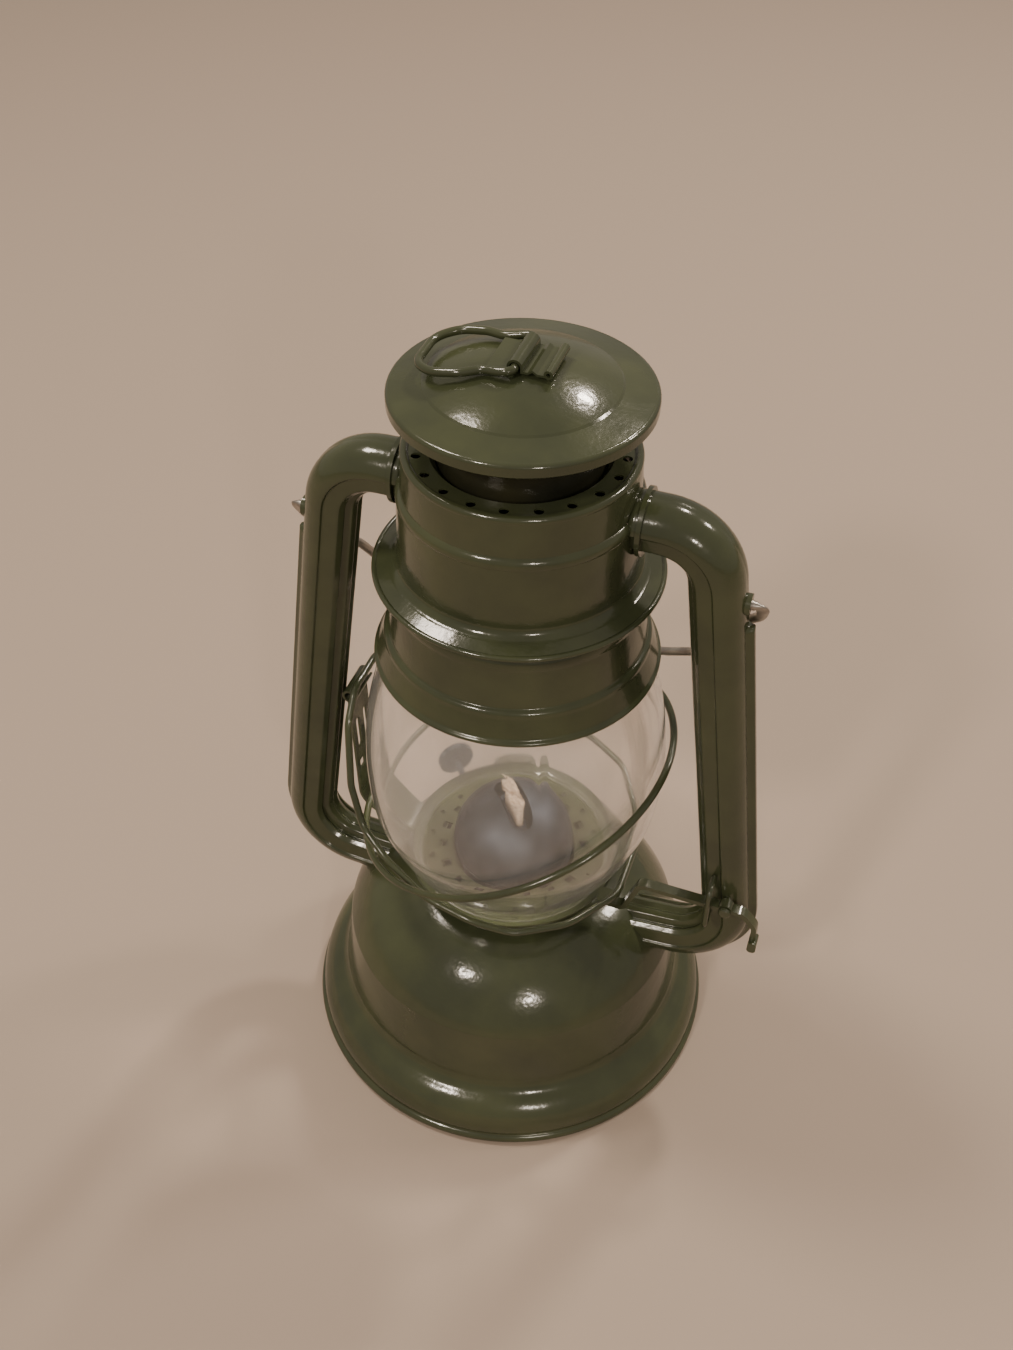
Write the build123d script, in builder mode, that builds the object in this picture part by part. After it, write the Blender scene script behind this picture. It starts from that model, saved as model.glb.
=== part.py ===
"""Tubular hurricane oil lantern as an assembly of separate parts, in millimetres.

Frame: origin at the centre of the base on the floor, +Z up, +X towards the side tube that carries
the lift lever, -Y towards the front.
"""
from build123d import *
import math
import os

# ---------------------------------------------------------------- driving dimensions
SHEET = 0.6                 # pressed sheet of the hood, drum and plates
FONT_SHEET = 0.8            # pressed sheet of the fuel tank

BEAD_R = 2.2                # rolled rim under the tank
BEAD_RING_R = 72.8
BEAD_Z = 2.0
WALL_FOOT = (63.0, 24.0)    # (radius, height) where the flare meets the tank wall
SHOULDER = (60.5, 46.4)
DOME_MID = (47.1, 63.1)
NECK_R = 27.2               # upright collar on top of the dome
DOME_TOP_Z = 71.0
NECK_TOP_Z = 78.4

TUBE_TOP_Z = 235.5          # centre line of the upper elbow
TUBE_LEAN = 0.137           # outward run of a side tube per millimetre down
TUBE_REF = (60.5, 215.0)
ELBOW_LOW_Z = 60.0
TUBE_FOOT_FALL = 0.085      # fall of the tube's foot per millimetre inwards
TUBE_INNER_S = 33.0         # tube mouth inside the drum
TUBE_FONT_S = 40.0          # tube mouth inside the dome
ELBOW_TOP_R = 17.0
ELBOW_LOW_R = 19.0
SEAM_TOP_Z = 205.0
SEAM_END_S = 61.2           # where the seam ends, short of the dome

BAIL_PIVOT_Z = 214.0
BAIL_WIRE_R = 1.5
BAIL_DROP = 55.0            # degrees below the horizontal, hanging to the back
BAIL_HOLE_R = 1.8

PLATE_Z = 79.6              # floor of the globe plate
GLOBE_FOOT_Z = 79.3
GLOBE_TOP_Z = 185.0
GLASS = 2.0
WIRE_R = 1.25               # guard wires
GUARD_R = 52.5

LEVER_Y = -12.7
LEVER_W = 3.6
LEVER_T = 1.8
LEVER_PIVOT = (80.0, 92.6)
PIN_R = 1.2

SHAFT_AZ = 130.0            # direction of the wick shaft
SHAFT_Z = 75.0
SHAFT_OFFSET = -4.9         # from the wick's centre plane, on its left
SHAFT_R = 1.2
WICK_W = 13.0
WICK_T = 2.2
WICK_TOP_Z = 108.0
WICK_FOOT_Z = 18.0
CONE_SLOT = (24.0, 9.0)

FILLER_AZ = 106.0
FILLER_R = 47.0
FILLER_Z = 60.2
FILLER_TILT = 32.0
FILLER_NECK_R = 8.0

CHIMNEY_R = 24.0
DRUM_TOP_Z = 252.5
VENT_R = 29.9
VENT_COUNT = 20
VENT_START = 9.5
KNUCKLE_Z = 281.6
RING_WIRE_R = 1.25
RING_TILT = 9.0


def strip(path, shift):
    """Closed face between an (r, z) outline and its copy moved by shift.

    path is a start point followed by steps: an (r, z) end point for a straight stretch, or a
    (middle, end) pair for an arc. A point on the axis keeps its radius of zero.
    """
    def moved(point, by):
        return (max(point[0] + by[0], 0.0) if point[0] > 0 else 0.0, point[1] + by[1])

    with BuildSketch(Plane.XZ) as face:
        with BuildLine():
            for by in ((0.0, 0.0), shift):
                here = moved(path[0], by)
                for step in path[1:]:
                    if isinstance(step[0], tuple):
                        end = moved(step[1], by)
                        ThreePointArc(here, moved(step[0], by), end)
                    else:
                        end = moved(step, by)
                        Line(here, end)
                    here = end
            Line(path[0], moved(path[0], shift))
            last = path[-1][1] if isinstance(path[-1][0], tuple) else path[-1]
            Line(last, moved(last, shift))
        make_face()
    return face.sketch


def rolled_edge(radius, height, wire_r):
    """Round bead section at (radius, height), to be turned about the axis."""
    with BuildSketch(Plane.XZ) as bead:
        with Locations((radius, height)):
            Circle(wire_r)
    return bead.sketch


def polar(radius, azimuth, height):
    """Point at a radius and azimuth (degrees from +X) about the axis."""
    angle = math.radians(azimuth)
    return (radius * math.cos(angle), radius * math.sin(angle), height)


def finish(builder, label):
    """Label a finished piece and write its file."""
    builder.part.label = label
    export_step(builder.part, f"parts/{label}.step")


os.makedirs("parts", exist_ok=True)

# ---------------------------------------------------------------- side air tubes
# Centre line: out of the drum, down with a slight outward lean, and back in to the dome.
tube_top = TUBE_REF[0] + TUBE_LEAN * (TUBE_REF[1] - TUBE_TOP_Z)
tube_low = TUBE_REF[0] + TUBE_LEAN * (TUBE_REF[1] - ELBOW_LOW_Z)
tube_end_z = ELBOW_LOW_Z - TUBE_FOOT_FALL * (tube_low - TUBE_FONT_S)
seam_top = TUBE_REF[0] + TUBE_LEAN * (TUBE_REF[1] - SEAM_TOP_Z)

tube_line = FilletPolyline(
    (TUBE_INNER_S, 0, TUBE_TOP_Z),
    (tube_top, 0, TUBE_TOP_Z),
    (tube_low, 0, ELBOW_LOW_Z),
    (TUBE_FONT_S, 0, tube_end_z),
    radius=[ELBOW_TOP_R, ELBOW_LOW_R],
)
seam_line = FilletPolyline(
    (seam_top, 0, SEAM_TOP_Z),
    (tube_low, 0, ELBOW_LOW_Z),
    (SEAM_END_S, 0, ELBOW_LOW_Z - TUBE_FOOT_FALL * (tube_low - SEAM_END_S)),
    radius=ELBOW_LOW_R,
)

# Half sections across the tube: (towards the outer side, across). The outer half is round and the
# inner half is fluted.
tube_skin = [(8.5, 0), ((6.3, 6.7), (0.6, 9.4)), (-0.6, 8.7), (-4.6, 8.1), (-6.1, 6.2),
             (-5.2, 4.6), (-7.7, 3.6), (-8.5, 1.7), (-7.5, 0)]
tube_bore = [(7.7, 0), ((5.6, 6.0), (0.4, 8.4)), (-4.2, 7.3), (-5.0, 6.1), (-4.2, 4.7),
             (-6.8, 3.1), (-7.5, 1.6), (-6.6, 0)]


def tube_section(half):
    """Closed section from its half outline, mirrored across the tube's middle plane."""
    plane = Plane(origin=tube_line @ 0, x_dir=(0, 0, 1), z_dir=(1, 0, 0))
    with BuildSketch(plane) as section:
        with BuildLine():
            for side in (1, -1):
                here = half[0]
                for step in half[1:]:
                    if isinstance(step[0], tuple):
                        middle, end = [(u, side * v) for u, v in step]
                        ThreePointArc(here, middle, end)
                    else:
                        end = (step[0], side * step[1])
                        Line(here, end)
                    here = end
        make_face()
    return section.sketch


with BuildPart() as tube_solid:
    sweep(tube_section(tube_skin), path=tube_line)

with BuildPart() as right_air_tube:
    add(tube_solid.part)
    with BuildSketch(Plane(origin=seam_line @ 0, x_dir=(0, 1, 0), z_dir=seam_line % 0)):
        with Locations((0, 9.3)):
            Rectangle(1.5, 2.8)
    sweep(path=seam_line)
    sweep(tube_section(tube_bore), path=tube_line, mode=Mode.SUBTRACT)
    with Locations(Location((70.0, 0, BAIL_PIVOT_Z), (0, 90, 0))):
        Cylinder(BAIL_HOLE_R, 8.0, mode=Mode.SUBTRACT)

with BuildPart() as left_air_tube:
    add(right_air_tube.part.mirror(Plane.YZ))

finish(right_air_tube, "right_air_tube")
finish(left_air_tube, "left_air_tube")

# ---------------------------------------------------------------- fuel tank (font)
filler_plane = Plane(
    origin=polar(FILLER_R, FILLER_AZ, FILLER_Z),
    x_dir=(-math.sin(math.radians(FILLER_AZ)), math.cos(math.radians(FILLER_AZ)), 0),
    z_dir=polar(math.sin(math.radians(FILLER_TILT)), FILLER_AZ,
                math.cos(math.radians(FILLER_TILT))),
)
shaft_plane = Plane(
    origin=(0, 0, SHAFT_Z),
    x_dir=(0, 0, 1),
    z_dir=polar(1, SHAFT_AZ, 0),
)
# In the shaft plane the first coordinate is up and the second is towards the back right.

with BuildPart() as font_shell:
    revolve(strip([(74.0, 3.4), ((71.9, 12.4), (67.0, 17.4)), ((64.2, 20.0), WALL_FOOT), SHOULDER,
                   (DOME_MID, (NECK_R, DOME_TOP_Z)), (NECK_R, NECK_TOP_Z)],
                  (-FONT_SHEET, -FONT_SHEET)), axis=Axis.Z)
    revolve(rolled_edge(BEAD_RING_R, BEAD_Z, BEAD_R), axis=Axis.Z)
    with Locations((0, 0, -1)):
        Cylinder(90, 2, mode=Mode.SUBTRACT)
    add(tube_solid.part, mode=Mode.SUBTRACT)
    add(tube_solid.part.mirror(Plane.YZ), mode=Mode.SUBTRACT)
    with BuildSketch(filler_plane.offset(-12)):
        Circle(FILLER_NECK_R)
    extrude(amount=30, mode=Mode.SUBTRACT)
    with BuildSketch(shaft_plane.offset(20)):
        with Locations((0, SHAFT_OFFSET)):
            Circle(2.4)
    extrude(amount=15, mode=Mode.SUBTRACT)
finish(font_shell, "font_shell")

with BuildPart() as font_bottom:
    revolve(strip([(0, 6.0), (52.0, 6.0), (54.0, 7.6), (58.0, 7.6), (60.0, 6.0), (66.5, 6.0),
                   (70.4, 2.4)], (0, -0.8)), axis=Axis.Z)
finish(font_bottom, "font_bottom")

# The tank ceiling closes the fuel space and leaves the air chamber under the dome.
with BuildPart() as tank_ceiling:
    revolve(strip([(60.6, 31.0), (60.6, 35.0), ((59.8, 37.2), (57.6, 38.0)), (30.0, 38.0),
                   (21.0, 49.0), (18.0, 49.0)], (-0.8, -0.8)), axis=Axis.Z)
    with BuildSketch(filler_plane.offset(-40)):
        Circle(FILLER_NECK_R)
    extrude(amount=40, mode=Mode.SUBTRACT)
finish(tank_ceiling, "tank_ceiling")

with BuildPart() as burner_collar:
    revolve(strip([(17.1, 47.4), (17.1, 53.0), (18.2, 53.6), (18.2, 55.4)], (-2.05, 0)), axis=Axis.Z)
finish(burner_collar, "burner_collar")

with BuildPart() as filler_neck:
    with BuildSketch(filler_plane.offset(-30)):
        Circle(FILLER_NECK_R)
        Circle(FILLER_NECK_R - 0.8, mode=Mode.SUBTRACT)
    extrude(amount=37)
finish(filler_neck, "filler_neck")

with BuildPart() as filler_gasket:
    with BuildSketch(filler_plane.offset(7.0)):
        Circle(8.25)
        Circle(6.6, mode=Mode.SUBTRACT)
    extrude(amount=1.2)
finish(filler_gasket, "filler_gasket")

# Knurled screw cap: a cup over the neck with a raised top.
with BuildPart() as filler_cap:
    with BuildSketch(filler_plane.offset(3.0)):
        Circle(10.0)
        with PolarLocations(10.3, 36):
            Circle(0.55, mode=Mode.SUBTRACT)
    extrude(amount=5.3)
    with BuildSketch(filler_plane.offset(8.3)):
        Circle(9.4)
    extrude(amount=1.0)
    with BuildSketch(filler_plane.offset(3.0)):
        Circle(8.6)
    extrude(amount=5.3, mode=Mode.SUBTRACT)
    with BuildSketch(filler_plane.offset(9.3)):
        Circle(6.0)
    extrude(amount=0.6)
finish(filler_cap, "filler_cap")

# ---------------------------------------------------------------- burner
width_axis = Vector(*polar(1, SHAFT_AZ, 0))


def burner_plane(height):
    """Level plane whose x runs along the wick's width."""
    return Plane(origin=(0, 0, height), x_dir=width_axis, z_dir=(0, 0, 1))


SPROCKET_AT = (-3.2, 3.2)   # places of the feed wheels along the wick's width
SPROCKET_R = 3.4

with BuildPart() as burner_base:
    revolve(strip([(14.95, 49.5), (14.95, 58.0), (19.0, 63.0), (19.0, 78.0), (21.6, 80.6)],
                  (-0.7, 0)), axis=Axis.Z)
    with BuildSketch(Plane.XY.offset(62.0)):
        Circle(18.2)
    extrude(amount=0.8)
    with BuildSketch(burner_plane(60.0)):
        RectangleRounded(17.0, 4.6, 1.5)
    extrude(amount=5, mode=Mode.SUBTRACT)
    with BuildSketch(shaft_plane.offset(14)):
        with Locations((0, SHAFT_OFFSET)):
            Circle(SHAFT_R + 0.4)
    extrude(amount=8, mode=Mode.SUBTRACT)
finish(burner_base, "burner_base")

with BuildPart() as wick_tube:
    with BuildSketch(burner_plane(56.0)):
        RectangleRounded(WICK_W + 3.8, WICK_T + 2.2, 1.5)
        RectangleRounded(WICK_W + 1.4, WICK_T + 0.9, 1.0, mode=Mode.SUBTRACT)
    extrude(amount=42)
    with BuildSketch(burner_plane(SHAFT_Z - 3.5)):
        for place in SPROCKET_AT:
            with Locations((place, 3.0)):
                Rectangle(2.4, 4.0)
    extrude(amount=7, mode=Mode.SUBTRACT)
finish(wick_tube, "wick_tube")

with BuildPart() as burner_cone:
    revolve(strip([(21.5, 81.3), (21.5, 83.6), ((18.6, 94.6), (9.5, 102.2)),
                   ((5.0, 103.9), (0, 104.4))], (-SHEET, -SHEET)), axis=Axis.Z)
    with BuildSketch(burner_plane(95.0)):
        SlotOverall(CONE_SLOT[0], CONE_SLOT[1])
    extrude(amount=12, mode=Mode.SUBTRACT)
finish(burner_cone, "burner_cone")

with BuildPart() as wick:
    with BuildSketch(burner_plane(WICK_FOOT_Z)):
        RectangleRounded(WICK_W, WICK_T, 0.9)
    extrude(amount=WICK_TOP_Z - WICK_FOOT_Z)
finish(wick, "wick")

with BuildPart() as wick_shaft:
    with BuildSketch(shaft_plane.offset(-9)):
        with Locations((0, SHAFT_OFFSET)):
            Circle(SHAFT_R)
    extrude(amount=60)
finish(wick_shaft, "wick_shaft")

with BuildPart() as wick_sprockets:
    for place in SPROCKET_AT:
        with BuildSketch(shaft_plane.offset(place - 0.7)):
            with Locations((0, SHAFT_OFFSET)):
                RegularPolygon(SPROCKET_R, 8)
                Circle(SHAFT_R, mode=Mode.SUBTRACT)
        extrude(amount=1.4)
finish(wick_sprockets, "wick_sprockets")

with BuildPart() as shaft_bush:
    with BuildSketch(shaft_plane.offset(25.2)):
        with Locations((0, SHAFT_OFFSET)):
            Circle(2.35)
            Circle(SHAFT_R + 0.05, mode=Mode.SUBTRACT)
    extrude(amount=3.6)
finish(shaft_bush, "shaft_bush")

# Fluted thumb wheel pressed on the end of the shaft.
with BuildPart() as wick_knob:
    with BuildSketch(shaft_plane.offset(51)):
        with Locations((0, SHAFT_OFFSET)):
            Circle(7.0)
            with PolarLocations(7.2, 24):
                Circle(0.6, mode=Mode.SUBTRACT)
    extrude(amount=2.4)
    with BuildSketch(shaft_plane.offset(49.4)):
        with Locations((0, SHAFT_OFFSET)):
            Circle(2.6)
            Circle(SHAFT_R, mode=Mode.SUBTRACT)
    extrude(amount=1.6)
finish(wick_knob, "wick_knob")

# ---------------------------------------------------------------- globe and its carrier
with BuildPart() as globe_plate:
    revolve(strip([(22.5, PLATE_Z), (32.6, PLATE_Z), (33.4, PLATE_Z - 0.6), (37.0, PLATE_Z - 0.6),
                   ((37.9, PLATE_Z + 0.4), (38.3, 82.6))], (0, -SHEET)), axis=Axis.Z)
    with BuildSketch(Plane.XY.offset(PLATE_Z - 2)):
        with PolarLocations(26.0, 18):
            Rectangle(3.2, 3.2)
        with PolarLocations(30.4, 18, start_angle=10):
            Circle(1.1)
    extrude(amount=4, mode=Mode.SUBTRACT)
    with BuildSketch(Plane.XY.offset(80.9)):
        with Locations((39.5, LEVER_Y)):
            Rectangle(7.2, 6.0)
    extrude(amount=0.8)
finish(globe_plate, "globe_plate")

with BuildPart() as globe:
    revolve(strip([(35.4, GLOBE_FOOT_Z), (35.8, 83.0), ((43.6, 96.2), (49.2, 111.0)),
                   ((50.4, 124.0), (50.0, 141.0)), ((45.8, 164.0), (37.4, GLOBE_TOP_Z))],
                  (-GLASS, 0)), axis=Axis.Z)
finish(globe, "globe")

# Guard wire that stands high on the right: an ellipse, level ring GUARD_R seen from above.
GUARD_MID_Z = 117.6
GUARD_SLOPE = (0.447, 0.12)
slope = math.hypot(*GUARD_SLOPE)
guard_normal = Vector(-GUARD_SLOPE[0], -GUARD_SLOPE[1], 1).normalized()
uphill = Vector(GUARD_SLOPE[0], GUARD_SLOPE[1], slope * slope).normalized()
guard_plane = Plane(origin=(0, 0, GUARD_MID_Z), x_dir=uphill, z_dir=guard_normal)
with BuildPart() as guard_wire_right:
    with BuildLine(guard_plane):
        guard_path = EllipticalCenterArc((0, 0), GUARD_R * math.hypot(1, slope), GUARD_R,
                                         start_angle=0, arc_size=360)
    with BuildSketch(Plane(origin=guard_path @ 0, z_dir=guard_path % 0)):
        Circle(WIRE_R)
    sweep(path=guard_path)
finish(guard_wire_right, "guard_wire_right")

# Guard wire that arches up on the left and runs low round the rest of the globe. It crosses the
# other wire on its inner side at the front and on its outer side at the back.
LOW_GUARD_FRONT = [(-54.0, 0, 148.5), (-54.0, -9.0, 148.5), (-53.4, -17.5, 139.5), (-49.8, -26.5, 120.0),
                   (-44.0, -31.5, 106.0), (-32.6, -38.0, 100.5), (-15.6, -46.4, 97.6),
                   (2.0, -49.5, 96.2), (16.0, -48.0, 94.0), (32.0, -38.0, 93.6), (43.6, -18.0, 90.5), (43.6, 0, 90.5)]
LOW_GUARD_BACK = [(-54.0, 0, 148.5), (-54.0, 9.0, 148.5), (-53.4, 17.5, 139.5), (-50.8, 26.8, 120.0),
                  (-46.4, 33.4, 106.0), (-36.0, 43.4, 99.0), (-15.6, 49.6, 97.0), (2.0, 50.5, 96.2),
                  (16.0, 48.0, 94.0), (32.0, 38.0, 93.6), (43.6, 18.0, 90.5), (43.6, 0, 90.5)]
LOW_GUARD_RADII = [6.0, 9.0, 14.0, 9.0, 16.0, 20.0, 18.0, 14.0, 16.0, 14.0]
with BuildPart() as guard_wire_left:
    for points in (LOW_GUARD_FRONT, LOW_GUARD_BACK):
        with BuildLine():
            low_path = FilletPolyline(*points, radius=LOW_GUARD_RADII)
        with BuildSketch(Plane(origin=low_path @ 0, z_dir=low_path % 0)):
            Circle(WIRE_R)
        sweep(path=low_path)
finish(guard_wire_left, "guard_wire_left")

# Guide strip beside the left tube: foot under the plate, windows, and a curl at the top.
STRIP_X = -57.4
STRIP_T = 0.8
CURL_R = 2.6
with BuildPart() as guide_strip:
    with BuildSketch(Plane.XZ):
        with BuildLine():
            foot = FilletPolyline((-30.0, 78.1), (-41.0, 78.1), (-56.0, 91.0), (STRIP_X, 139.0),
                                  radius=[5.0, 9.0])
            lower = FilletPolyline((-30.0, 78.1 - STRIP_T), (-41.3, 78.1 - STRIP_T),
                                   (-56.75, 90.65), (STRIP_X - STRIP_T, 139.0),
                                   radius=[5.0 + STRIP_T, 9.0 + STRIP_T])
            Line(foot @ 0, lower @ 0)
            Line(foot @ 1, lower @ 1)
        make_face()
    extrude(amount=7.0, both=True)
    with BuildSketch(Plane.XZ):
        with Locations((STRIP_X - 0.1, 139.0 + CURL_R - 0.3)):
            Circle(CURL_R)
            Circle(CURL_R - STRIP_T, mode=Mode.SUBTRACT)
            with Locations((CURL_R * 0.8, 1.2)):
                Rectangle(1.6, 2.4, mode=Mode.SUBTRACT)
    extrude(amount=7.0, both=True)
    with BuildSketch(Plane.YZ.offset(-50)):
        for across in (-3.0, 3.0):
            with Locations((across, 121.0)):
                SlotOverall(14.0, 2.6, rotation=90)
        with Locations((-3.0, 106.0)):
            Rectangle(3.6, 4.2)
    extrude(amount=-10, mode=Mode.SUBTRACT)
finish(guide_strip, "guide_strip")

# ---------------------------------------------------------------- lift lever
lever_front = Plane.XZ.offset(-LEVER_Y - LEVER_W / 2)
with BuildPart() as lift_lever:
    with BuildSketch(lever_front):
        with BuildLine():
            upper = FilletPolyline((38.6, 79.9), (44.6, 79.9), (49.6, 94.2), (86.6, 93.4),
                                   (91.6, 87.6), (92.0, 80.2), radius=[2.0, 4.0, 4.0, 5.0])
            under = FilletPolyline((38.6, 79.9 - LEVER_T), (45.9, 79.9 - LEVER_T), (50.9, 92.4),
                                   (85.8, 91.6), (89.8, 87.0), (90.2, 80.2),
                                   radius=[3.4, 2.4, 2.2, 3.2])
            Line(upper @ 0, under @ 0)
            Line(upper @ 1, under @ 1)
        make_face()
    extrude(amount=LEVER_W)
    with BuildSketch(lever_front):
        with Locations((91.2, 78.9)):
            RectangleRounded(3.0, 4.6, 1.2)
    extrude(amount=LEVER_W + 1.6)
    with BuildSketch(lever_front):
        with Locations(LEVER_PIVOT):
            Circle(2.6)
    extrude(amount=LEVER_W)
    with BuildSketch(lever_front):
        with Locations(LEVER_PIVOT):
            Circle(PIN_R + 0.05)
    extrude(amount=LEVER_W, mode=Mode.SUBTRACT)
finish(lift_lever, "lift_lever")

with BuildPart() as lever_pivot_pin:
    with BuildSketch(Plane.XZ.offset(8.4)):
        with Locations(LEVER_PIVOT):
            Circle(PIN_R)
    extrude(amount=7.0)
    with BuildSketch(Plane.XZ.offset(-LEVER_Y + LEVER_W / 2 + 0.35)):
        with Locations(LEVER_PIVOT):
            Circle(2.1)
    extrude(amount=1.2)
    fillet(lever_pivot_pin.faces().sort_by(Axis.Y)[0].edges(), 0.7)
finish(lever_pivot_pin, "lever_pivot_pin")

# Wire staple on the front of the tube; the lever passes behind its upright.
STAPLE_X = 74.2
with BuildPart() as lever_staple:
    with BuildLine():
        staple_path = FilletPolyline(
            (STAPLE_X, -8.9, 102.0), (STAPLE_X, -16.6, 102.0), (STAPLE_X, -16.6, 84.0),
            (STAPLE_X, -8.9, 84.0), radius=2.4)
    with BuildSketch(Plane(origin=staple_path @ 0, z_dir=staple_path % 0)):
        Circle(1.0)
    sweep(path=staple_path)
finish(lever_staple, "lever_staple")

# ---------------------------------------------------------------- drum under the hood
with BuildPart() as drum_shell:
    revolve(strip([(43.8, 211.0), (39.4, 212.7), ((37.2, 214.0), (36.5, 216.6)), (36.1, 236.0),
                   ((36.1, 238.2), (34.9, 239.6)), (34.4, 250.4), ((33.9, 252.2), (32.6, DRUM_TOP_Z))],
                  (-SHEET, -SHEET)), axis=Axis.Z)
    revolve(rolled_edge(43.5, 210.8, 0.9), axis=Axis.Z)
    add(tube_solid.part, mode=Mode.SUBTRACT)
    add(tube_solid.part.mirror(Plane.YZ), mode=Mode.SUBTRACT)
finish(drum_shell, "drum_shell")

with BuildPart() as vent_plate:
    revolve(strip([(33.0, 251.6), (26.4, 251.6), (24.6, 249.4)], (0, -SHEET)), axis=Axis.Z)
    with BuildSketch(Plane.XY.offset(248)):
        with PolarLocations(VENT_R, VENT_COUNT, start_angle=VENT_START):
            Circle(1.4)
    extrude(amount=6, mode=Mode.SUBTRACT)
finish(vent_plate, "vent_plate")

with BuildPart() as right_tube_collar:
    with BuildSketch(Plane.YZ.offset(36.6)):
        with Locations((0, TUBE_TOP_Z)):
            Circle(10.3)
    extrude(amount=1.4)
    add(tube_solid.part, mode=Mode.SUBTRACT)
finish(right_tube_collar, "right_tube_collar")

with BuildPart() as left_tube_collar:
    add(right_tube_collar.part.mirror(Plane.YZ))
finish(left_tube_collar, "left_tube_collar")

# ---------------------------------------------------------------- sliding hood
with BuildPart() as globe_holder:
    revolve(strip([(44.7, 177.8), (40.8, 186.2), (39.0, 201.0), ((37.6, 205.6), (33.4, 207.2)),
                   (CHIMNEY_R + 0.7, 207.6)], (-SHEET, -SHEET)), axis=Axis.Z)
    revolve(rolled_edge(44.4, 177.6, 0.8), axis=Axis.Z)
finish(globe_holder, "globe_holder")

with BuildPart() as chimney_neck:
    revolve(strip([(CHIMNEY_R, 204.6), (CHIMNEY_R, 256.5), ((25.2, 260.8), (29.2, 264.2))],
                  (-SHEET, 0)), axis=Axis.Z)
finish(chimney_neck, "chimney_neck")

with BuildPart() as cap_stays:
    with BuildSketch(Plane.XY.offset(264.3)):
        with PolarLocations(28.6, 3, start_angle=90):
            Rectangle(0.8, 7.0)
    extrude(amount=7.7)
finish(cap_stays, "cap_stays")

with BuildPart() as cap:
    revolve(strip([(37.6, 267.9), (37.6, 270.0), ((37.3, 271.1), (36.2, 271.6)), (27.7, 273.3),
                   (27.0, 273.8), ((14.0, 278.2), (0, 280.0))], (-SHEET, -SHEET)), axis=Axis.Z)
    with BuildSketch(Plane.XY.offset(270)):
        with Locations((-7.6, 0)):
            Rectangle(1.3, 15.8)
    extrude(amount=12, mode=Mode.SUBTRACT)
finish(cap, "cap")

# Strap that holds the finger ring: a tongue through the cap, an arch over the ring's bar, a
# raised rib and a rolled end.
STRAP_T = 0.7
STRAP_Z = 280.1
ARCH_R = RING_WIRE_R + 0.3
with BuildPart() as ring_bracket:
    with BuildSketch(Plane.XZ):
        with BuildLine():
            for grow in (0.0, STRAP_T):
                level = STRAP_Z + grow
                arch = ARCH_R + grow
                tongue = -7.2 - grow
                Polyline((tongue, 277.0), (tongue, level), (-arch, level), (-arch, KNUCKLE_Z))
                ThreePointArc((-arch, KNUCKLE_Z), (0, KNUCKLE_Z + arch), (arch, KNUCKLE_Z))
                Polyline((arch, KNUCKLE_Z), (arch, level), (3.6, level), (4.9, level + 0.9),
                         (6.2, level), (9.0, level))
            Line((-7.2, 277.0), (-7.2 - STRAP_T, 277.0))
            Line((9.0, STRAP_Z), (9.0, STRAP_Z + STRAP_T))
        make_face()
    extrude(amount=7.6, both=True)
    with BuildSketch(Plane.XZ):
        with Locations((9.3, STRAP_Z + 1.0)):
            Circle(1.3)
            Circle(0.6, mode=Mode.SUBTRACT)
    extrude(amount=7.6, both=True)
finish(ring_bracket, "ring_bracket")

ring_plane = Plane(
    origin=(0, 0, KNUCKLE_Z),
    x_dir=(-math.cos(math.radians(RING_TILT)), 0, -math.sin(math.radians(RING_TILT))),
    z_dir=(math.sin(math.radians(RING_TILT)), 0, -math.cos(math.radians(RING_TILT))),
)
RING_HALF = [(0, 10.0), (4.0, 10.0), (8.6, 9.2), (14.5, 11.6), (22.5, 11.9), (28.6, 7.4)]
RING_RADII = [1.8, 2.6, 5.0, 7.0, 8.0, 7.4]
with BuildPart() as lift_ring:
    with BuildLine(ring_plane):
        ring_path = FilletPolyline(*RING_HALF, *[(u, -v) for u, v in reversed(RING_HALF)],
                                   close=True, radius=RING_RADII + RING_RADII[::-1])
    with BuildSketch(Plane(origin=ring_path @ 0, z_dir=ring_path % 0)):
        Circle(RING_WIRE_R)
    sweep(path=ring_path)
finish(lift_ring, "lift_ring")

# Compression spring inside the drum that presses the hood down.
SPRING_R = 29.0
SPRING_WIRE_R = 0.6
with BuildPart() as chimney_spring:
    with BuildLine(Plane.XY.offset(208.4)):
        coil = Helix(pitch=6.7, height=40.2, radius=SPRING_R)
    with BuildSketch(Plane(origin=coil @ 0, z_dir=coil % 0)):
        Circle(SPRING_WIRE_R)
    sweep(path=coil, is_frenet=True)
finish(chimney_spring, "chimney_spring")

# ---------------------------------------------------------------- bail
with BuildPart() as right_bail_lug:
    with BuildSketch(Plane.YZ.offset(68.2)):
        with Locations((0, BAIL_PIVOT_Z)):
            Circle(3.4)
            Circle(BAIL_HOLE_R, mode=Mode.SUBTRACT)
    extrude(amount=2.2)
    add(tube_solid.part, mode=Mode.SUBTRACT)
finish(right_bail_lug, "right_bail_lug")

with BuildPart() as left_bail_lug:
    add(right_bail_lug.part.mirror(Plane.YZ))
finish(left_bail_lug, "left_bail_lug")

bail_plane = Plane(
    origin=(0, 0, BAIL_PIVOT_Z),
    x_dir=(1, 0, 0),
    z_dir=(0, math.sin(math.radians(BAIL_DROP)), math.cos(math.radians(BAIL_DROP))),
)
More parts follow.
